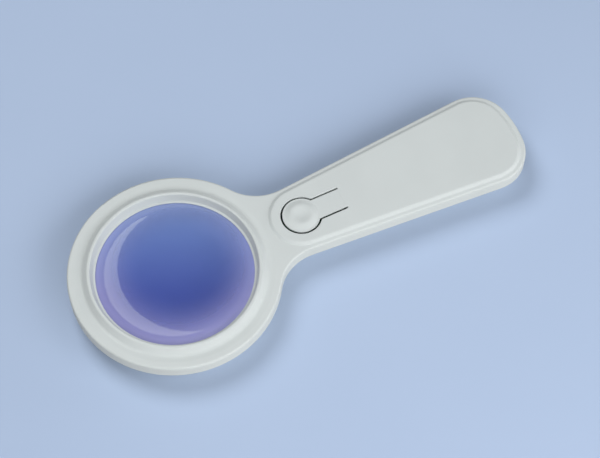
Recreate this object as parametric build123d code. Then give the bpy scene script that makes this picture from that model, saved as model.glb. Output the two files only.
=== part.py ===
"""Illuminated hand magnifier for low vision: a round lens in a flat frame with a paddle handle.

The frame lies flat on its back.  X runs along the handle towards its butt, Z points up out of the
reading side, and the origin is the centre of the footprint on the resting plane.  Millimetres.
"""
import math
import os

from build123d import *

# --- driving dimensions -------------------------------------------------------------------------
lens_centre_x = -57.2          # optical axis; the button sits at x = 0
ring_radius = 43.9             # outside of the round frame
overall_half_length = 101.1    # the footprint runs from -this to +this along X
half_width_at_button = 15.6    # half the handle's width at x = 0
handle_flare = 0.0769          # growth of that half width per mm of length
butt_arc_radius = 50.0         # gentle bow of the handle's end
butt_corner_radius = 16.5
neck_radius = 20.0             # concave blends between ring and handle

back_z = 0.0                   # resting plane
parting_z = 7.4                # joint between the two shells
face_z = 13.3                  # flat front face of the frame
plateau_z = 14.3               # raised panel on the handle
lip_z = 15.35                  # crest of the raised lip around the lens
valley_z = 12.9                # bottom of the shallow valley round that lip
hull_inset = 4.4               # how far the back shell tapers in by the time it reaches the back
wall = 1.8                     # shell thickness
edge_round = 0.9               # front edge of the frame
back_edge_round = 1.6          # where the back shell meets its flat underside

plateau_inset = 1.8            # shelf between the outline and the panel, on the sides
plateau_butt_inset = 2.4       # the same at the butt
plateau_slope = 1.25           # how far the panel's sloping edge runs in
plateau_top_round = 1.2
plateau_foot_round = 0.8

# lens
lens_radius = 34.0
lens_edge = 2.0
lens_surface_radius = 122.5
aperture_radius = 32.5
rim_radius = ring_radius - 1.4  # where the turned section meets the flat face
lens_gap = 0.05
lens_top_at_aperture = 11.2    # height of the glass where the lip meets it
pocket_radius = 34.15          # seat the lens drops into
ring_wall_radius = 36.0        # outside of that seat's wall
mouth_radius = 34.6            # flared opening behind the lens
mouth_depth = 2.4

# press button: a keyhole tongue cut out of the panel
pad_radius = 7.85
slot_width = 0.8
tongue_half_width = 4.55
tongue_root_x = 18.7           # the tongue bends here
tongue_thickness = 0.8
root_gap = 0.02                # hair gap between the tongue and its shell
root_relief = 0.15             # extra room under the bend
pad_crown = 0.75               # raised disc on the pad
pad_crown_radius = 7.1
pad_dimple = 0.45
junction_round = 1.0
slot_edge_round = 0.15         # on the tongue
shell_slot_round = 0.3         # on the shell's side of the slot
post_radius = 1.2              # actuator under the pad

# switch under the pad
board_bottom_z = 3.0
board_thickness = 1.2
board_front_x = -11.2
board_rear_x = 15.0
board_half_width = 8.6
switch_side = 7.0
switch_wall = 0.8
switch_height = 4.0
cover_thickness = 0.3
plunger_radius = 1.75
plunger_flange_radius = 2.5
plunger_top_z = 9.6
touch_gap = 0.05
pin_offset = 2.6               # of the switch's four pins from its middle
pin_radius = 0.35
resistor_ends = (4.9, 11.1)    # x of its two board holes
resistor_axis_height = 1.1     # above the board

# batteries: two AAA cells side by side
cell_radius = 5.25
cell_length = 44.5
nub_radius = 1.9
nub_length = 0.8
cell_pitch_half = 5.45
cell_axis_z = 6.85
bay_front_x = 41.2
bay_rear_x = 92.5
bay_half_width = 11.0
bay_wall = 1.4
contact_thickness = 0.4
contact_bottom_z = 2.0
contact_top_z = 10.8
contact_half_width = 4.4       # of the plates that serve one cell
bridge_half_width = 9.8        # of the plate that joins both cells
tab_reach = 3.2                # solder tabs, bent forward over the bay wall
tab_half_width = 1.4
wire_radius = 0.6              # supply wires with their insulation

# battery door, sliding off over the butt
door_front_x = 39.2
door_thickness = 1.4
door_half_width = 10.9
door_rail_width = 1.0
door_rail_z = 0.7
door_gap = 0.1
groove_count = 6                # thumb grooves across the door
groove_pitch = 1.8
groove_start = 5.0              # from the door's front edge
groove_radius = 0.5
groove_length = 12.0

# fasteners
shell_screw_head_radius = 1.9
shell_screw_head_height = 1.3
shell_screw_shank_radius = 1.1
shell_screw_seat_z = 2.0
shell_screw_tip_z = 10.0
boss_radius = 2.7
back_boss_radius = 3.1
screw_clearance = 0.2          # round the heads and shanks in the back shell
ring_screw_radius = 36.9
shell_screw_spots = [
    (lens_centre_x + ring_screw_radius * math.cos(math.radians(turn)),
     ring_screw_radius * math.sin(math.radians(turn)))
    for turn in (100, 180, 260)
] + [(28.0, 10.6), (28.0, -10.6), (84.0, 15.3), (84.0, -15.3)]
board_screw_spots = [(12.0, 6.2), (12.0, -6.2)]
board_post_spots = [(-5.5, 6.4), (-5.5, -6.4)]
board_post_radius = 1.9
board_screw_head_radius = 1.7
board_screw_head_height = 1.1
board_screw_shank_radius = 0.9
board_screw_length = 3.2
recess_length = 1.9            # cross recess in the screw heads
recess_width = 0.5
thread_gap = 0.02

# lamps: two 5 mm LEDs in the neck, aimed down and in under the lens
led_spread = 4.6
led_tilt = 24.0
led_base = (-14.2, 10.3)       # x and z of the middle between the two flanges
led_radius = 2.5
led_flange_radius = 2.9
led_body_length = 6.1
lead_radius = 0.25
lead_pitch_half = 1.27
lead_hole_x = -8.6

board_top_z = board_bottom_z + board_thickness
tab_top_z = parting_z + 0.7
lens_axis = Location((lens_centre_x, 0, 0))


# --- helpers ------------------------------------------------------------------------------------
def half_width(x):
    """Half the handle's width at x."""
    return half_width_at_button + handle_flare * x


def block(x0, x1, y0, y1, z0, z1):
    """A box between two corners."""
    return Pos((x0 + x1) / 2, (y0 + y1) / 2, (z0 + z1) / 2) * Box(x1 - x0, y1 - y0, z1 - z0)


def rod(x, y, z0, z1, radius):
    """A vertical cylinder between two heights."""
    return Pos(x, y, (z0 + z1) / 2) * Cylinder(radius, z1 - z0)


def turned(points, rounds=None):
    """A solid of revolution about Z from (radius, height) points, with some corners rounded."""
    section = make_face(Polyline(*[(r, 0, z) for r, z in points], close=True).wires())
    for point, radius in (rounds or {}).items():
        corner = section.vertices().sort_by_distance((point[0], 0, point[1]))[0]
        section = fillet(corner, radius)
    return revolve(section, Axis.Z)


def wire_rod(points, radius, bend):
    """A round wire along a path with rounded bends."""
    path = FilletPolyline(*points, radius=bend)
    start = Plane(origin=path @ 0, z_dir=path % 0)
    return sweep(start * Circle(radius), path=path)


def prism(face, z0, z1):
    """A flat face raised between two heights."""
    return extrude(Pos(0, 0, z0) * face, z1 - z0, dir=(0, 0, 1))


# --- outlines -----------------------------------------------------------------------------------
def paddle(x_start, inset, butt_inset):
    """The handle's flared outline with its bowed butt, drawn in from the edge by the insets."""
    x_end = overall_half_length - butt_inset
    bow = butt_arc_radius - butt_inset
    side = half_width(x_end) - inset
    x_corner = x_end - (bow - math.sqrt(bow ** 2 - side ** 2))
    y_start = half_width(x_start) - inset
    y_corner = half_width(x_corner) - inset
    edges = Polyline((x_corner, y_corner), (x_start, y_start), (x_start, -y_start), (x_corner, -y_corner))
    butt = ThreePointArc((x_corner, -y_corner), (x_end, 0), (x_corner, y_corner))
    face = make_face((edges + butt).edges())
    corners = face.vertices().group_by(Axis.X)[-1]
    return fillet(corners, butt_corner_radius - butt_inset)


def body_outline():
    """Ring and handle in one outline, blended at the neck."""
    face = lens_axis * Circle(ring_radius) + paddle(lens_centre_x + 20, 0, 0)
    corners = [v for v in face.vertices() if v.X < -5]
    return fillet(corners, neck_radius)


def plateau_outline():
    """The raised panel: round about the button, then following the handle."""
    flare_angle = math.atan(handle_flare)
    radius = (half_width_at_button - plateau_inset) * math.cos(flare_angle)
    tangent_x = -radius * math.sin(flare_angle)
    return Circle(radius) + paddle(tangent_x, plateau_inset, plateau_butt_inset)


def keyhole(radius, half):
    """Round pad and straight tongue, up to the tongue's root."""
    face = Circle(radius) + Pos(tongue_root_x / 2, 0) * Rectangle(tongue_root_x, 2 * half)
    corners = [v for v in face.vertices() if v.X < tongue_root_x - 1]
    return fillet(corners, junction_round)


outline = body_outline()
plateau = plateau_outline()


# --- front shell --------------------------------------------------------------------------------
def front_ring():
    """The lens seat, the raised lip and the crowned rim, turned about the optical axis."""
    lip_inner = (34.5, lip_z)
    lip_outer = (35.7, lip_z)
    valley = (38.1, valley_z)
    rim_start = (40.9, face_z)
    ledge_foot = (33.3, 11.9)
    seat_z = lens_top_at_aperture + lens_gap
    ceiling = face_z - wall
    section = [
        (pocket_radius, parting_z), (pocket_radius, seat_z), (aperture_radius, seat_z),
        (aperture_radius, seat_z + 0.3), ledge_foot, lip_inner, lip_outer, valley, rim_start,
        (rim_radius, face_z), (rim_radius, ceiling),
        (ring_wall_radius, ceiling), (ring_wall_radius, parting_z),
    ]
    rounds = {lip_inner: 0.6, lip_outer: 0.9, valley: 1.8, rim_start: 4.0, ledge_foot: 0.4}
    return lens_axis * turned(section, rounds)


def keyhole_slot():
    """The cut that frees the button tongue, with round slot ends."""
    half = tongue_half_width + slot_width
    cut = prism(keyhole(pad_radius + slot_width, half), face_z - wall - 1, plateau_z + 1)
    for side in (1, -1):
        y = side * (tongue_half_width + slot_width / 2)
        cut += rod(tongue_root_x, y, face_z - wall - 1, plateau_z + 1, slot_width / 2)
    return cut


def front_skin():
    """The solid block of the front shell with its raised panel, before it is hollowed."""
    skin = prism(outline, parting_z, face_z)
    skin = fillet(skin.edges().group_by(Axis.Z)[-1], edge_round)
    rise = plateau_z - face_z
    slope_angle = math.degrees(math.atan(plateau_slope / rise))
    skin += extrude(Pos(0, 0, face_z) * plateau, rise, dir=(0, 0, 1), taper=slope_angle)
    skin = fillet(skin.faces().sort_by(Axis.Z)[-1].outer_wire().edges(), plateau_top_round)
    foot = [e for e in edges_at(skin, face_z) if on_plateau_outline(e)]
    return fillet(foot, plateau_foot_round)


def edges_at(solid, z):
    """The edges that lie at one height."""
    return solid.edges().filter_by_position(Axis.Z, z - 0.01, z + 0.01)


def on_plateau_outline(edge):
    """True for an edge that lies on the panel's outline."""
    middle = edge @ 0.5
    flat = (middle.X, middle.Y, 0)
    return plateau.edges().sort_by_distance(flat)[0].distance_to(Vertex(*flat)) < 0.01


def round_slot(shell):
    """Rounds the shell's side of the button slot."""
    x_end = tongue_root_x + slot_width
    y_end = pad_radius + slot_width
    rim = [e for e in edges_at(shell, plateau_z) if abs(e.center().Y) < y_end and e.center().X < x_end]
    root = Vertex(tongue_root_x, 0, plateau_z)
    return fillet([e for e in rim if e.distance_to(root) > 1], shell_slot_round)


def front_shell():
    """The reading-side casing with its panel, lens lip and screw bosses."""
    shell = front_skin()
    shell -= prism(offset(outline, -wall), parting_z, face_z - wall)
    shell -= prism(offset(plateau, -wall), face_z - wall - 0.5, plateau_z - wall)
    shell -= lens_axis * rod(0, 0, parting_z - 1, plateau_z + 3, rim_radius - 0.1)
    shell += front_ring()
    shell = round_slot(shell - keyhole_slot())
    for x, y in shell_screw_spots:
        shell += rod(x, y, parting_z, plateau_z - wall + 0.3, boss_radius)
    for x, y in shell_screw_spots:
        shell -= rod(x, y, parting_z - 1, shell_screw_tip_z + 0.3, shell_screw_shank_radius + thread_gap)
    return shell


# --- press button -------------------------------------------------------------------------------
def press_button():
    """The tongue with its dished pad and the post that reaches the switch."""
    top = plateau_z
    under = plateau_z - tongue_thickness
    button = prism(keyhole(pad_radius, tongue_half_width), under, top)
    rim = [e for e in button.edges().group_by(Axis.Z)[-1] if e.center().X < tongue_root_x - 0.1]
    button = fillet(rim, slot_edge_round)
    with BuildPart() as dome:
        with BuildSketch(Plane.XZ):
            with BuildLine():
                crown = Spline((pad_crown_radius, top), (pad_crown_radius * 0.7, top + pad_crown),
                               (0, top + pad_crown - pad_dimple), tangents=[(-1, 0.25), (-1, 0)])
                Polyline(crown @ 1, (0, top - 0.5), (pad_crown_radius, top - 0.5), crown @ 0)
            make_face()
        revolve(axis=Axis.Z)
    button += dome.part
    tip = plunger_top_z + touch_gap
    button += rod(0, 0, tip + post_radius, under + 0.2, post_radius)
    button += Pos(0, 0, tip + post_radius) * Sphere(post_radius)
    root = tongue_root_x - root_gap
    relief = Polyline((root, 0, top + 1), (root, 0, top), (root - root_relief, 0, under),
                      (root - root_relief, 0, under - 1), (root + 2, 0, under - 1), (root + 2, 0, top + 1),
                      close=True)
    button -= extrude(make_face(relief.wires()), 10, both=True)
    return button


# --- back shell and door ------------------------------------------------------------------------
def hull(inset, floor_z):
    """The tapering tray below the parting line, drawn in from the outline by an inset."""
    face = offset(outline, -inset) if inset else outline
    depth = parting_z - floor_z
    taper = math.degrees(math.atan(hull_inset / (parting_z - back_z)))
    return extrude(Pos(0, 0, parting_z) * face, depth, dir=(0, 0, -1), taper=taper)


def door_space(gap):
    """The space of the sliding door, with its rails, grown by a gap."""
    half = door_half_width + gap
    x1 = overall_half_length + 1
    plate = block(door_front_x - gap, x1, -half, half, back_z - 1, door_thickness + gap)
    rail = half + door_rail_width
    return plate + block(door_front_x - gap, x1, -rail, rail, door_rail_z - gap, door_thickness + gap)


def led_place(side):
    """The frame of one lamp: its origin on the flange, its Z along the beam."""
    tilt = math.radians(led_tilt)
    beam = (-math.sin(tilt), 0, -math.cos(tilt))
    return Plane(origin=(led_base[0], side * led_spread, led_base[1]), x_dir=(0, 1, 0), z_dir=beam)


def battery_bay():
    """Walls around the two cells, standing on the floor beside the door."""
    outer = door_half_width + door_rail_width + bay_wall
    floor = door_thickness + door_gap
    bay = block(bay_front_x - bay_wall, bay_rear_x + bay_wall, -outer, outer, floor, parting_z)
    return bay + block(bay_rear_x, overall_half_length, -outer, outer, floor, floor + wall)


def back_shell(outer_hull):
    """The underside casing: lens clamp, posts, battery bay, lamp ports and door opening."""
    pocket = hull(wall, wall) - lens_axis * rod(0, 0, 0, parting_z + 1, ring_wall_radius)
    shell = outer_hull - pocket
    clamp_z = lens_top_at_aperture - lens_bottom_drop() - lens_gap
    shell += lens_axis * rod(0, 0, parting_z - 1, clamp_z, pocket_radius - 0.1)
    mouth = [(0, -1), (mouth_radius, -1), (mouth_radius, 0), (aperture_radius, mouth_depth),
             (aperture_radius, clamp_z + 1), (0, clamp_z + 1)]
    shell -= lens_axis * turned(mouth)
    shell += battery_bay() & outer_hull
    shell -= block(bay_front_x, bay_rear_x, -bay_half_width, bay_half_width, -1, parting_z + 1)
    for x, y in shell_screw_spots:
        shell += rod(x, y, back_z, parting_z, back_boss_radius) & outer_hull
    for x, y in board_screw_spots + board_post_spots:
        shell += rod(x, y, wall - 0.5, board_bottom_z, board_post_radius)
    for x, y in shell_screw_spots:
        shell -= rod(x, y, -1, shell_screw_seat_z, shell_screw_head_radius + screw_clearance)
        shell -= rod(x, y, -1, parting_z + 1, shell_screw_shank_radius + screw_clearance)
    for x, y in board_screw_spots:
        shell -= rod(x, y, 0.8, board_bottom_z + 1, board_screw_shank_radius + thread_gap)
    for side in (1, -1):
        shell -= led_place(side) * Pos(0, 0, 10) * Cylinder(led_flange_radius, 20)
    shell -= door_space(door_gap)
    return shell


def battery_door(outer_hull):
    """The sliding door: a strip of the hull's floor and butt, with rails and thumb grooves."""
    door = outer_hull & door_space(0)
    for groove in range(groove_count):
        x = door_front_x + groove_start + groove_pitch * groove
        door -= Pos(x, 0, back_z) * Rot(90, 0, 0) * Cylinder(groove_radius, groove_length)
    return door


# --- lens ---------------------------------------------------------------------------------------
def surface_drop(radius):
    """How far the lens surface falls below its crown at a radius."""
    return lens_surface_radius - math.sqrt(lens_surface_radius ** 2 - radius ** 2)


def lens_bottom_drop():
    """Thickness of the lens at the aperture."""
    return lens_edge + 2 * (surface_drop(lens_radius) - surface_drop(aperture_radius))


def lens():
    """A biconvex lens: two spherical faces and a cylindrical edge."""
    crown_z = lens_top_at_aperture + surface_drop(aperture_radius)
    thickness = lens_edge + 2 * surface_drop(lens_radius)
    middle_z = crown_z - thickness / 2
    ball_offset = lens_surface_radius - thickness / 2
    upper = Pos(0, 0, middle_z - ball_offset) * Sphere(lens_surface_radius)
    lower = Pos(0, 0, middle_z + ball_offset) * Sphere(lens_surface_radius)
    edge = rod(0, 0, middle_z - 20, middle_z + 20, lens_radius)
    return lens_axis * ((edge & upper) & lower)


# --- switch and board ---------------------------------------------------------------------------
def switch_parts():
    """Housing, cover, plunger, return spring and pins of the push switch."""
    base_z = board_top_z
    top_z = base_z + switch_height
    half = switch_side / 2
    inner = half - switch_wall
    housing = block(-half, half, -half, half, base_z, top_z)
    housing -= block(-inner, inner, -inner, inner, base_z + switch_wall, top_z + 1)
    cover = block(-half, half, -half, half, top_z, top_z + cover_thickness)
    cover -= rod(0, 0, top_z - 1, top_z + 2, plunger_radius + 0.1)
    flange_top = top_z - touch_gap
    flange_bottom = flange_top - 0.75
    plunger = rod(0, 0, flange_bottom, flange_top, plunger_flange_radius)
    plunger += rod(0, 0, flange_top, plunger_top_z, plunger_radius)
    plunger = fillet(plunger.edges().group_by(Axis.Z)[-1], 0.3)
    spring = Pos(0, 0, base_z + switch_wall) * coil(1.8, 0.18, flange_bottom - base_z - switch_wall, 3.5)
    pins = []
    for x, y in pin_spots():
        pins.append(rod(x, y, board_bottom_z - 0.6, base_z, pin_radius))
    return housing, cover, plunger, spring, Compound(pins)


def pin_spots():
    """The x and y of the switch's four pins."""
    return [(x, y) for x in (-pin_offset, pin_offset) for y in (-pin_offset, pin_offset)]


def coil(radius, wire_radius, length, turns):
    """A compression spring standing on z = 0, with room for the wire at both ends."""
    rise = length - 2 * wire_radius - 0.04
    path = Pos(0, 0, wire_radius + 0.02) * Helix(rise / turns, rise, radius)
    start = Plane(origin=path @ 0, z_dir=path % 0)
    return sweep(start * Circle(wire_radius), path=path, is_frenet=True)


def circuit_board():
    """The board that carries switch, resistor and lamp leads."""
    board = block(board_front_x, board_rear_x, -board_half_width, board_half_width,
                  board_bottom_z, board_top_z)
    board = fillet(board.edges().filter_by(Axis.Z), 1.0)
    holes = [(x, y, pin_radius + 0.1) for x, y in pin_spots()]
    holes += [(x, y, board_screw_shank_radius + 0.2) for x, y in board_screw_spots]
    holes += [(lead_hole_x, y, lead_radius + 0.1) for y in lead_rows()]
    holes += [(x, 0, lead_radius + 0.1) for x in resistor_ends]
    for x, y, radius in holes:
        board -= rod(x, y, board_bottom_z - 1, board_top_z + 1, radius)
    return board


def lead_rows():
    """The y of the four lamp leads."""
    return [side * led_spread + edge * lead_pitch_half for side in (1, -1) for edge in (1, -1)]


def resistor():
    """An axial resistor body with swollen ends, lying along X."""
    middle = sum(resistor_ends) / 2
    z = board_top_z + resistor_axis_height
    body = Pos(middle, 0, z) * Rot(0, 90, 0) * Cylinder(0.8, 4.0)
    for x in (middle - 1.5, middle + 1.5):
        body += Pos(x, 0, z) * Rot(0, 90, 0) * fillet(Cylinder(1.0, 1.3).edges(), 0.3)
    return body


def resistor_leads():
    """The two bent leads of the resistor."""
    z = board_top_z + resistor_axis_height
    x0, x1 = resistor_ends
    body_gap = 0.93                # from a lead's bend to the swollen end
    leads = []
    for x, inner in ((x0, x0 + body_gap), (x1, x1 - body_gap)):
        leads.append(wire_rod([(inner, 0, z), (x, 0, z), (x, 0, board_bottom_z - 0.5)], lead_radius, 0.4))
    return Compound(leads)


# --- lamps --------------------------------------------------------------------------------------
def led(side):
    """A 5 mm lamp: flange, barrel and dome."""
    body = Pos(0, 0, 0.5) * Cylinder(led_flange_radius, 1.0)
    body += Pos(0, 0, led_body_length / 2) * Cylinder(led_radius, led_body_length)
    body += Pos(0, 0, led_body_length) * Sphere(led_radius)
    return led_place(side) * body


def led_leads():
    """The four lamp leads, bent over and down into the board."""
    tilt = math.radians(led_tilt)
    leads = []
    for y in lead_rows():
        base = (led_base[0] + 0.02, y, led_base[1] + 0.02)
        lift = 0.85
        knee = (base[0] + lift * math.tan(tilt), y, base[2] + lift)
        path = [base, knee, (lead_hole_x, y, knee[2]), (lead_hole_x, y, board_bottom_z - 0.5)]
        leads.append(wire_rod(path, lead_radius, 0.3))
    return Compound(leads)


def led_holder():
    """The clip that holds both lamps at their tilt."""
    holder = Pos(0, 0, 2.7) * Box(2 * led_spread + 8.0, 7.6, 3.0)
    holder = fillet(holder.edges().filter_by(Axis.Z), 1.5)
    for side in (1, -1):
        holder -= Pos(side * led_spread, 0, 2.7) * Cylinder(led_radius + 0.05, 10)
    middle = led_place(1)
    frame = Plane(origin=(middle.origin.X, 0, middle.origin.Z), x_dir=middle.x_dir, z_dir=middle.z_dir)
    return frame * holder


# --- batteries and contacts ---------------------------------------------------------------------
def cell(nub_x, direction, y):
    """One cell lying along X; the nub's face is at nub_x and the body extends from it."""
    can_start = nub_x + direction * nub_length
    can_end = nub_x + direction * cell_length
    can = Cylinder(cell_radius, abs(can_end - can_start))
    can = fillet(can.edges(), 0.5)
    body = Pos((can_start + can_end) / 2, y, cell_axis_z) * Rot(0, 90, 0) * can
    nub = Pos((nub_x + can_start) / 2, y, cell_axis_z) * Rot(0, 90, 0) * Cylinder(nub_radius, nub_length)
    return body + nub


def contact_plate(x0, y0, y1):
    """A sprung-steel plate across one end of the bay."""
    plate = block(x0, x0 + contact_thickness, y0, y1, contact_bottom_z, contact_top_z)
    return fillet(plate.edges().filter_by(Axis.X), 0.8)


def front_contact(side):
    """A front plate with its solder tab bent forward over the bay wall."""
    x0 = bay_front_x + touch_gap
    y = side * cell_pitch_half
    plate = contact_plate(x0, y - contact_half_width, y + contact_half_width)
    tab = block(x0 - tab_reach, x0 + contact_thickness, y - tab_half_width, y + tab_half_width,
                tab_top_z - contact_thickness, tab_top_z)
    return plate + tab


def battery_spring(x0, x1, y):
    """A contact spring between a plate and the flat end of a cell."""
    turned_coil = Rot(0, 90, 0) * coil(3.0, 0.3, x1 - x0, 4)
    return Pos(x0, y, cell_axis_z) * turned_coil


def supply_wire(side):
    """An insulated wire from a contact tab to the board."""
    z = tab_top_z + wire_radius + thread_gap
    y = side * cell_pitch_half
    board_x = 13.4
    path = [(bay_front_x - 0.8, y, z), (26, y * 0.6, z), (board_x, y * 0.5, z),
            (board_x, y * 0.5, board_top_z + thread_gap)]
    return wire_rod(path, wire_radius, 1.4)


# --- fasteners ----------------------------------------------------------------------------------
def screw(x, y, seat_z, direction, length, head_radius, head_height, shank_radius):
    """A pan-head screw with a cross recess; direction is +1 when it points up."""
    head_z = seat_z - direction * head_height
    head = rod(x, y, *sorted((seat_z, head_z)), head_radius)
    head = fillet(edges_at(head, head_z), 0.35)
    shank = rod(x, y, *sorted((seat_z, seat_z + direction * length)), shank_radius)
    cross = Box(recess_length, recess_width, 1.2) + Box(recess_width, recess_length, 1.2)
    recess = Pos(x, y, head_z) * cross
    return head + shank - recess


def shell_screws():
    """The seven screws that close the shells."""
    return Compound([
        screw(x, y, shell_screw_seat_z, 1, shell_screw_tip_z - shell_screw_seat_z,
              shell_screw_head_radius, shell_screw_head_height, shell_screw_shank_radius)
        for x, y in shell_screw_spots])


def board_screws():
    """The two screws that hold the board."""
    return Compound([
        screw(x, y, board_top_z, -1, board_screw_length,
              board_screw_head_radius, board_screw_head_height, board_screw_shank_radius)
        for x, y in board_screw_spots])


# --- build and write ----------------------------------------------------------------------------
def build():
    """Every node by name."""
    outer_hull = hull(0, back_z)
    rim = outer_hull.edges().group_by(Axis.Z)[0]
    outer_hull = fillet(rim, back_edge_round)
    housing, cover, plunger, spring, pins = switch_parts()
    front_x = bay_front_x + touch_gap + contact_thickness + touch_gap
    rear_x = bay_rear_x - touch_gap - contact_thickness - touch_gap
    bridge = contact_plate(rear_x + touch_gap, -bridge_half_width, bridge_half_width)
    return {
        "front_shell": front_shell(),
        "back_shell": back_shell(outer_hull),
        "lens": lens(),
        "press_button": press_button(),
        "battery_door": battery_door(outer_hull),
        "switch_housing": housing,
        "switch_cover": cover,
        "switch_plunger": plunger,
        "switch_spring": spring,
        "switch_pins": pins,
        "circuit_board": circuit_board(),
        "board_screws": board_screws(),
        "resistor": resistor(),
        "resistor_leads": resistor_leads(),
        "led_left": led(1),
        "led_right": led(-1),
        "led_leads": led_leads(),
        "led_holder": led_holder(),
        "cell_left": cell(front_x, 1, cell_pitch_half),
        "cell_right": cell(rear_x, -1, -cell_pitch_half),
        "positive_contact": front_contact(1),
        "negative_contact": front_contact(-1),
        "negative_spring": battery_spring(front_x - touch_gap, rear_x - cell_length, -cell_pitch_half),
        "bridge_contact": bridge,
        "bridge_spring": battery_spring(front_x + cell_length, rear_x + touch_gap, cell_pitch_half),
        "wire_positive": supply_wire(1),
        "wire_negative": supply_wire(-1),
        "shell_screws": shell_screws(),
    }


os.makedirs("parts", exist_ok=True)
for name, solid in build().items():
    export_step(solid, f"parts/{name}.step")
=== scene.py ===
"""Looks for the illuminated hand magnifier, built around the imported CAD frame. Metres."""

import math

import bmesh
import bpy
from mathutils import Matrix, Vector

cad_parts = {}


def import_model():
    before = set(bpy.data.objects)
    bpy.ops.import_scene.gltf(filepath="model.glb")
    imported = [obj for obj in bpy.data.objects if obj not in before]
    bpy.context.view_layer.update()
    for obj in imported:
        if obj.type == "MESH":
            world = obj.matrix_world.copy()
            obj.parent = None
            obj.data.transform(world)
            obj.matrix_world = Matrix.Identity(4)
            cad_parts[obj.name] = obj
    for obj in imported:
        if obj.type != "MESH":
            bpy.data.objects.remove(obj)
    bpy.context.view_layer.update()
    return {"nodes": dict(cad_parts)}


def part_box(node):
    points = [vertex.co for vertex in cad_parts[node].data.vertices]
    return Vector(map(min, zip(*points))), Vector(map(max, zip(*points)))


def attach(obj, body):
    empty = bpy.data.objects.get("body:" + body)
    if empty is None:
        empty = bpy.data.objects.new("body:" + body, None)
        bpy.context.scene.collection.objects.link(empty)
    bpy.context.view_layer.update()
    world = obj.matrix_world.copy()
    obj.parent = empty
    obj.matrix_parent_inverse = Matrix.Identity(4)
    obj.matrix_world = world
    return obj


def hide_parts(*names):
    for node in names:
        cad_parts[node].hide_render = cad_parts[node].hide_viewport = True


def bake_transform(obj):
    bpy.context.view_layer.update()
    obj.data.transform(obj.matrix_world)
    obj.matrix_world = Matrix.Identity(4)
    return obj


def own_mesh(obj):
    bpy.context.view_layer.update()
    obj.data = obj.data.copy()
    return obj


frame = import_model()

MM = 0.001

# places in millimetres, in the row frame
LENS_X = -57.2                 # optical axis
LENS_CROWN_Z = 15.6            # top of the lens
LENS_CURVE = 122.5             # radius of its faces
APERTURE = 32.5                # clear radius inside the lip
PAINTED_HAZE_START = 12.0              # the lens's haze of painted light begins at this radius
PAINTED_HAZE_CENTRE = (2.2, 1.0)       # and is centred this far off the axis, so it reaches further in on the left

# the camera's bearing: azimuth 0 is on the -Y side, and 90 on the +X side
CAMERA_AZIMUTH = -26.09
CAMERA_ELEVATION = 61.52
CAMERA_DISTANCE = 768.0
CAMERA_TARGET = (-3.2, -5.3, 13.6)
CAMERA_LENS = 112.2            # focal length on a sensor 36 mm wide
SENSOR_WIDTH = 36.0

# lights and floor
SOFTBOX_SIZE = 500.0
SOFTBOX_DISTANCE = 800.0
FLOOR_HALF = 3000.0


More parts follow.
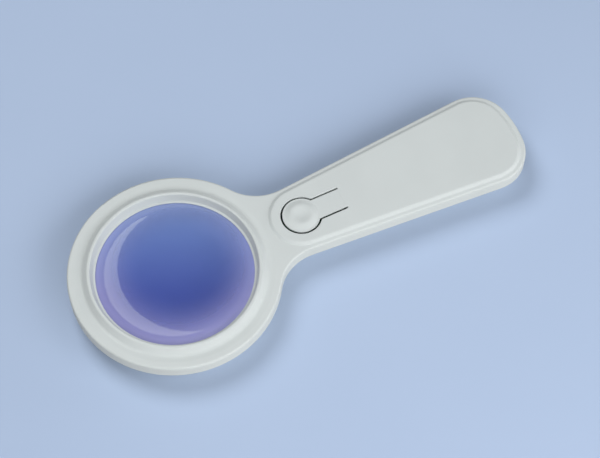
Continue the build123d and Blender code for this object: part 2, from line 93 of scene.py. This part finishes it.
# --- node helpers -------------------------------------------------------------------------------
class Shader:
    """A small wrapper that adds and links nodes of one material."""

    def __init__(self, name):
        self.material = bpy.data.materials.new(name)
        self.material.use_nodes = True
        self.tree = self.material.node_tree
        self.tree.nodes.clear()
        self.output = self.add("ShaderNodeOutputMaterial")

    def put(self, socket, value):
        """Links a socket, or sets it to a plain value."""
        if isinstance(value, bpy.types.NodeSocket):
            self.tree.links.new(value, socket)
        else:
            socket.default_value = value

    def add(self, kind, inputs=None, **settings):
        """Adds a node, sets its properties, and sets or links its inputs."""
        node = self.tree.nodes.new(kind)
        for key, value in settings.items():
            setattr(node, key, value)
        for key, value in (inputs or {}).items():
            self.put(node.inputs[key], value)
        return node

    def position(self):
        """The point in the row frame, in millimetres."""
        where = self.add("ShaderNodeTexCoord").outputs["Object"]
        inputs = {0: where, 1: (1000, 1000, 1000)}
        return self.add("ShaderNodeVectorMath", inputs, operation="MULTIPLY").outputs[0]

    def axes(self):
        """The x, y and z of the point in millimetres."""
        return self.add("ShaderNodeSeparateXYZ", {0: self.position()}).outputs

    def noise(self, scale, detail=3.0, roughness=0.5, stretch=(1, 1, 1)):
        """Noise with features of about 1/scale millimetres, drawn out by stretch."""
        where = self.add("ShaderNodeVectorMath", {0: self.position(), 1: stretch}, operation="MULTIPLY")
        inputs = {"Vector": where.outputs[0], "Scale": scale, "Detail": detail, "Roughness": roughness}
        return self.add("ShaderNodeTexNoise", inputs).outputs["Fac"]

    def math(self, operation, a, b=0.0):
        """One step of arithmetic on one or two values."""
        return self.add("ShaderNodeMath", {0: a, 1: b}, operation=operation).outputs[0]

    def radius(self, x, y):
        """The length of a vector in the plane."""
        square = self.math("ADD", self.math("MULTIPLY", x, x), self.math("MULTIPLY", y, y))
        return self.math("SQRT", square)

    def remap(self, value, low, high, to_low=0.0, to_high=1.0, smooth=False):
        """Maps a range of a value to another, clamped."""
        inputs = {"Value": value, "From Min": low, "From Max": high, "To Min": to_low, "To Max": to_high}
        kind = "SMOOTHSTEP" if smooth else "LINEAR"
        return self.add("ShaderNodeMapRange", inputs, interpolation_type=kind).outputs["Result"]

    def mix(self, factor, a, b):
        """Mixes two colours."""
        node = self.add("ShaderNodeMix", data_type="RGBA")
        for key, value in ((0, factor), (6, a), (7, b)):
            self.put(node.inputs[key], value)
        return node.outputs[2]

    def band(self, value, middle, width):
        """1 within half a width of the middle, and 0 outside."""
        away = self.math("ABSOLUTE", self.math("SUBTRACT", value, middle))
        return self.math("LESS_THAN", away, width / 2)

    def bump(self, height, distance):
        """A normal that shows a height as relief of some depth in millimetres."""
        inputs = {"Height": height, "Distance": distance * MM, "Strength": 1.0}
        return self.add("ShaderNodeBump", inputs).outputs["Normal"]

    def principled(self, tint, **inputs):
        """Ends the material with a principled surface; underscores stand for spaces in input names."""
        values = {key.replace("_", " "): value for key, value in inputs.items()}
        shader = self.add("ShaderNodeBsdfPrincipled", {"Base Color": tint, **values})
        return self.finish(shader.outputs[0])

    def finish(self, surface):
        """Makes a shader the material's surface."""
        self.tree.links.new(surface, self.output.inputs["Surface"])
        return self.material


def colour(r, g, b):
    """An opaque colour from its linear parts."""
    return (r, g, b, 1.0)


def shade(base, factor):
    """A colour made lighter or darker."""
    return colour(*(min(1.0, factor * c) for c in base))


# --- materials ----------------------------------------------------------------------------------
def moulded_plastic(name, base, roughness=0.42, grain=0.012):
    """Satin moulded plastic: a fine spark-eroded grain over faint cloudiness."""
    s = Shader(name)
    clouds = s.remap(s.noise(0.05, 2.0), 0.35, 0.65)
    tint = s.mix(clouds, shade(base, 0.975), colour(*base))
    rough = s.remap(s.noise(0.4), 0.3, 0.7, roughness - 0.04, roughness + 0.05)
    return s.principled(tint, Roughness=rough, IOR=1.5, Normal=s.bump(s.noise(3.0, 4.0, 0.6), grain))


def metal(name, base, roughness, brush=(1, 1, 1), grain=0.004):
    """Bright metal with fine drawn or brushed scratches."""
    s = Shader(name)
    scratches = s.noise(6.0, 5.0, 0.65, brush)
    tint = s.mix(s.remap(s.noise(0.5), 0.35, 0.65), shade(base, 0.88), colour(*base))
    rough = s.remap(scratches, 0.3, 0.7, roughness - 0.06, roughness + 0.08)
    return s.principled(tint, Metallic=1.0, Roughness=rough, Normal=s.bump(scratches, grain))


def lens_acrylic():
    """Polished acrylic with a blue-violet tint, and a pale violet haze of painted light towards the edge:
    lighter at the outermost radius and towards the far side of the camera's view, with painted shade on the
    left edge.
    """
    s = Shader("lens_acrylic")
    x, y, _ = s.axes()
    dx = s.math("SUBTRACT", x, LENS_X)
    a = math.radians(CAMERA_AZIMUTH)
    along = s.math("ADD", s.math("MULTIPLY", dx, -math.sin(a)), s.math("MULTIPLY", y, math.cos(a)))
    # painted light: the tint turns lighter towards the far side of the camera's view
    far_painted_light = s.remap(along, -10, 30)
    tint_and_painted_light = s.mix(far_painted_light, colour(0.40, 0.45, 0.725), colour(0.66, 0.74, 0.87))
    spread = s.radius(s.math("SUBTRACT", dx, PAINTED_HAZE_CENTRE[0]), s.math("SUBTRACT", y, PAINTED_HAZE_CENTRE[1]))
    # painted light: a lit violet haze grows towards the edge and thins towards the far side of the view
    painted_haze = s.math("POWER", s.remap(spread, PAINTED_HAZE_START, APERTURE + 0.5), 2.6)
    painted_haze_share = s.math("MULTIPLY", painted_haze, s.remap(along, -10, 26, 0.9, 0.6))
    # painted light: the haze is lighter at the outermost radius, against the shade of the lip
    outermost_painted_light = s.remap(s.radius(dx, y), 28, APERTURE)
    violet_with_painted_light = s.mix(outermost_painted_light, colour(0.36, 0.36, 0.66), colour(0.50, 0.50, 0.88))
    # painted shade: the haze is darker on the left edge, where the lamps fall stronger
    rim_with_painted_shade = s.mix(s.remap(dx, -28, 2), colour(0.28, 0.28, 0.55), violet_with_painted_light)
    bent = s.add("ShaderNodeBsdfRefraction", {"Color": tint_and_painted_light, "Roughness": 0.0, "IOR": 1.49})
    painted_haze_diffuse = s.add("ShaderNodeBsdfDiffuse", {"Color": s.mix(far_painted_light, rim_with_painted_shade, colour(0.36, 0.44, 0.76))})
    body = s.add("ShaderNodeMixShader", {0: painted_haze_share, 1: bent.outputs[0], 2: painted_haze_diffuse.outputs[0]})
    shine = s.add("ShaderNodeBsdfGlossy", {"Color": colour(0.92, 0.90, 1.0), "Roughness": 0.02})
    facing = s.add("ShaderNodeFresnel", {"IOR": 1.49}).outputs[0]
    glass = s.add("ShaderNodeMixShader", {0: facing, 1: body.outputs[0], 2: shine.outputs[0]})
    clear = s.add("ShaderNodeBsdfTransparent", {"Color": colour(0.93, 0.93, 0.97)})
    shadow = s.add("ShaderNodeLightPath").outputs["Is Shadow Ray"]
    mixed = s.add("ShaderNodeMixShader", {0: shadow, 1: glass.outputs[0], 2: clear.outputs[0]})
    return s.finish(mixed.outputs[0])


def led_epoxy():
    """Clear epoxy over a pale phosphor, slightly cloudy inside."""
    s = Shader("led_epoxy")
    tint = s.mix(s.remap(s.noise(0.8), 0.35, 0.65), colour(0.95, 0.92, 0.66), colour(0.97, 0.97, 0.90))
    return s.principled(tint, Roughness=0.06, IOR=1.54, Transmission_Weight=0.35)


def board_laminate():
    """Green solder resist over lengthwise tracks, which step sideways halfway along the board."""
    s = Shader("board_laminate")
    x, y, _ = s.axes()
    low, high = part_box("circuit_board")
    middle = (low.x + high.x) / 2 / MM
    step = s.remap(x, middle - 1.5, middle + 1.5, 0.0, 3.0)
    lanes = s.math("SINE", s.math("MULTIPLY", s.math("ADD", y, step), 2.4))
    tracks = s.remap(lanes, 0.7, 0.8, smooth=True)
    tint = s.mix(tracks, colour(0.020, 0.14, 0.055), colour(0.045, 0.25, 0.10))
    return s.principled(tint, Roughness=0.28, Coat_Weight=0.4, Normal=s.bump(tracks, 0.03))


def resistor_body():
    """Tan lacquer with four plain colour bands round the body."""
    s = Shader("resistor_body")
    x = s.axes()[0]
    tint = s.mix(s.remap(s.noise(1.5), 0.3, 0.7), colour(0.50, 0.36, 0.19), colour(0.58, 0.44, 0.25))
    bands = [
        (6.5, (0.50, 0.10, 0.02)),
        (7.5, (0.02, 0.02, 0.02)),
        (8.3, (0.10, 0.04, 0.02)),
        (9.5, (0.55, 0.40, 0.10)),
    ]
    for middle, band_colour in bands:
        tint = s.mix(s.band(x, middle, 0.4), tint, colour(*band_colour))
    return s.principled(tint, Roughness=0.35, Coat_Weight=0.3)


def cell_can(name, nub_x, away):
    """A battery: plain two-colour sleeve, with bare steel at the nub and the flat end."""
    s = Shader(name)
    along = s.math("MULTIPLY", s.math("SUBTRACT", s.axes()[0], nub_x), away)
    sleeve = s.mix(s.math("LESS_THAN", along, 12.0), colour(0.035, 0.045, 0.075), colour(0.42, 0.20, 0.07))
    bare = s.math("ADD", s.math("LESS_THAN", along, 1.2), s.math("GREATER_THAN", along, 44.1))
    tint = s.mix(bare, sleeve, colour(0.62, 0.61, 0.58))
    rough = s.remap(s.noise(1.2), 0.3, 0.7, 0.24, 0.36)
    return s.principled(tint, Metallic=s.math("MAXIMUM", bare, 0.35), Roughness=rough, Coat_Weight=0.3)


def wire_insulation(name, base):
    """Soft vinyl insulation with a dull sheen and slight waviness."""
    s = Shader(name)
    tint = s.mix(s.remap(s.noise(0.7), 0.35, 0.65), shade(base, 0.8), colour(*base))
    return s.principled(tint, Roughness=0.4, Normal=s.bump(s.noise(1.2), 0.02))


def paint(material, *nodes):
    """Gives CAD nodes one material."""
    for node in nodes:
        data = frame["nodes"][node].data
        data.materials.clear()
        data.materials.append(material)


def paint_all():
    """A material of its own kind for every CAD node."""
    casing = (0.585, 0.625, 0.625)
    paint(moulded_plastic("casing_plastic", casing), "front_shell", "back_shell")
    paint(moulded_plastic("button_plastic", casing, 0.40), "press_button")
    paint(moulded_plastic("door_plastic", shade(casing, 0.98)[:3], 0.44), "battery_door")
    paint(moulded_plastic("holder_plastic", (0.78, 0.78, 0.76), 0.5), "led_holder")
    paint(moulded_plastic("switch_black", (0.022, 0.022, 0.026), 0.45), "switch_housing")
    paint(moulded_plastic("plunger_plastic", (0.50, 0.03, 0.02), 0.38), "switch_plunger")
    paint(lens_acrylic(), "lens")
    paint(led_epoxy(), "led_left", "led_right")
    paint(metal("switch_steel", (0.60, 0.60, 0.58), 0.30, (1, 8, 1)), "switch_cover")
    paint(metal("spring_steel", (0.63, 0.62, 0.60), 0.24),
          "switch_spring", "negative_spring", "bridge_spring")
    paint(metal("contact_steel", (0.68, 0.67, 0.63), 0.20, (1, 1, 6)),
          "positive_contact", "negative_contact", "bridge_contact")
    paint(metal("tinned_copper", (0.72, 0.71, 0.69), 0.18), "switch_pins", "resistor_leads", "led_leads")
    paint(metal("screw_steel", (0.56, 0.56, 0.55), 0.28, (1, 5, 1)), "shell_screws", "board_screws")
    paint(board_laminate(), "circuit_board")
    paint(resistor_body(), "resistor")
    paint(wire_insulation("wire_red", (0.45, 0.012, 0.010)), "wire_positive")
    paint(wire_insulation("wire_black", (0.016, 0.016, 0.018)), "wire_negative")
    left_low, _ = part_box("cell_left")
    _, right_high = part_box("cell_right")
    paint(cell_can("cell_can_left", left_low.x / MM, 1.0), "cell_left")
    paint(cell_can("cell_can_right", right_high.x / MM, -1.0), "cell_right")


# --- copies shown in place of CAD nodes -----------------------------------------------------------
def stand_in(node, name, cuts=()):
    """A copy of a CAD node shown in its place, cut across X at some places so that it can bend."""
    mesh = frame["nodes"][node].data.copy()
    shape = bmesh.new()
    shape.from_mesh(mesh)
    for x in cuts:
        parts = shape.verts[:] + shape.edges[:] + shape.faces[:]
        bmesh.ops.bisect_plane(shape, geom=parts, plane_co=(x * MM, 0, 0), plane_no=(1, 0, 0))
    shape.to_mesh(mesh)
    shape.free()
    piece = bpy.data.objects.new(name, mesh)
    bpy.context.scene.collection.objects.link(piece)
    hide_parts(node)
    return piece


def flexing_tongue():
    """A copy of the button's tongue in its place, cut across X at every millimetre from 9 to 18."""
    tongue = stand_in("press_button", "button_tongue", range(9, 19))
    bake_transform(tongue)


def return_spring():
    """A copy of the switch spring in its place, attached to the casing body with a mesh of its own."""
    spring = stand_in("switch_spring", "plunger_spring")
    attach(spring, "casing")
    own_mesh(spring)


# --- stage --------------------------------------------------------------------------------------
def stage_mesh(name, corners, faces, material):
    """A mesh of the set around the object, in metres."""
    mesh = bpy.data.meshes.new(name)
    mesh.from_pydata(corners, [], faces)
    mesh.materials.append(material)
    piece = bpy.data.objects.new(name, mesh)
    bpy.context.scene.collection.objects.link(piece)
    return piece


def floor():
    """A plain pale blue floor under the resting plane; the light it throws back is neutral."""
    half = FLOOR_HALF * MM
    s = Shader("floor")
    blue = s.mix(s.remap(s.noise(0.01), 0.3, 0.7), colour(0.415, 0.515, 0.695), colour(0.425, 0.525, 0.705))
    bounce = s.add("ShaderNodeLightPath").outputs["Is Diffuse Ray"]
    tint = s.mix(bounce, blue, colour(0.545, 0.525, 0.505))
    corners = [(-half, -half, 0), (half, -half, 0), (half, half, 0), (-half, half, 0)]
    stage_mesh("floor", corners, [(0, 1, 2, 3)], s.principled(tint, Roughness=0.9))


def around(target, azimuth, elevation, distance):
    """A point at a bearing and distance from a target."""
    a, e = math.radians(azimuth), math.radians(elevation)
    back = Vector((math.sin(a) * math.cos(e), -math.cos(a) * math.cos(e), math.sin(e)))
    return Vector(target) + distance * back


def camera_place():
    """Where the camera stands, in millimetres."""
    return around(CAMERA_TARGET, CAMERA_AZIMUTH, CAMERA_ELEVATION, CAMERA_DISTANCE)


def crescent_card():
    """A curved reflector whose image in the lens is a crescent along its left and near side.

    Its corners lie on the rays from the camera that the lens mirrors along the crescent's two arcs.
    """
    outer_radius, inner_radius, shift = 28.9, 29.3, Vector((6.3, -0.4))
    reach = 500.0
    corners = []
    for step in range(31):
        turn = math.radians(90 + step * 6)
        toward = Vector((math.cos(turn), math.sin(turn), 0))
        # the inner arc is part of a circle shifted to the lower right
        inner = shift.dot(toward.xy) + math.sqrt(inner_radius ** 2 - shift.cross(toward.xy) ** 2)
        radii = (min(inner, outer_radius), outer_radius)
        corners += [MM * mirrored(toward * radius, reach) for radius in radii]
    faces = [(k, k + 1, k + 3, k + 2) for k in range(0, len(corners) - 2, 2)]
    s = Shader("reflector")
    glow = s.add("ShaderNodeEmission", {"Color": colour(0.95, 1.0, 0.76), "Strength": 3.4})
    card = stage_mesh("crescent_card", corners, faces, s.finish(glow.outputs[0]))
    card.visible_camera = False
    card.visible_diffuse = False
    card.visible_transmission = False
    card.visible_shadow = False


def mirrored(offset, reach):
    """The point a reach along the camera ray mirrored by the lens at an offset from its axis."""
    tilt = math.sqrt(LENS_CURVE ** 2 - offset.length ** 2)
    point = Vector((LENS_X + offset.x, offset.y, LENS_CROWN_Z - LENS_CURVE + tilt))
    normal = Vector((offset.x, offset.y, tilt)).normalized()
    ray = (point - camera_place()).normalized()
    return point + reach * ray.reflect(normal)


def aim(obj, place, target):
    """Puts an object at a place, looking at a target; both in millimetres."""
    obj.location = MM * Vector(place)
    obj.rotation_euler = (Vector(target) - Vector(place)).to_track_quat("-Z", "Y").to_euler()
    bpy.context.scene.collection.objects.link(obj)


def softbox(name, azimuth, elevation, watts):
    """A round softbox aimed at the object, too even to show as a disc in the lens."""
    data = bpy.data.lights.new(name, "AREA")
    data.shape = "DISK"
    data.size = MM * SOFTBOX_SIZE
    data.energy = watts
    lamp = bpy.data.objects.new(name, data)
    lamp.visible_glossy = False
    lamp.visible_transmission = False
    aim(lamp, around((0, 0, 0), azimuth, elevation, SOFTBOX_DISTANCE), (0, 0, 0))


def softboxes():
    """Soft light from high behind on the left, and lower from the near side and the right."""
    softbox("back_left_high", -160, 58, 3.55)
    softbox("near_right", 40, 35, 2.35)
    softbox("near", 0, 35, 1.8)
    softbox("near_left", -40, 35, 1.55)
    softbox("right_low", 80, 10, 1.5)
    softbox("near_low", 0, 10, 1.2)
    softbox("near_right_low", 40, 10, 0.3)
    softbox("near_left_low", -40, 10, 0.3)


def camera():
    """The camera, at the bearing the object is seen from."""
    data = bpy.data.cameras.new("camera")
    data.lens = CAMERA_LENS
    data.sensor_width = SENSOR_WIDTH
    cam = bpy.data.objects.new("camera", data)
    aim(cam, camera_place(), CAMERA_TARGET)
    bpy.context.scene.camera = cam


def world():
    """A pale, slightly cool surround that is seen and mirrored, but lights the object very little."""
    w = bpy.data.worlds.new("studio")
    w.use_nodes = True
    nodes = w.node_tree.nodes
    rays = nodes.new("ShaderNodeLightPath")
    strength = nodes.new("ShaderNodeMapRange")
    strength.inputs["To Min"].default_value = 0.36
    strength.inputs["To Max"].default_value = 0.05
    background = nodes["Background"]
    background.inputs["Color"].default_value = colour(0.93, 0.97, 1.0)
    w.node_tree.links.new(rays.outputs["Is Diffuse Ray"], strength.inputs["Value"])
    w.node_tree.links.new(strength.outputs["Result"], background.inputs["Strength"])
    bpy.context.scene.world = w


paint_all()
flexing_tongue()
return_spring()
floor()
crescent_card()
world()
softboxes()
camera()
bpy.context.scene.view_settings.view_transform = "Standard"
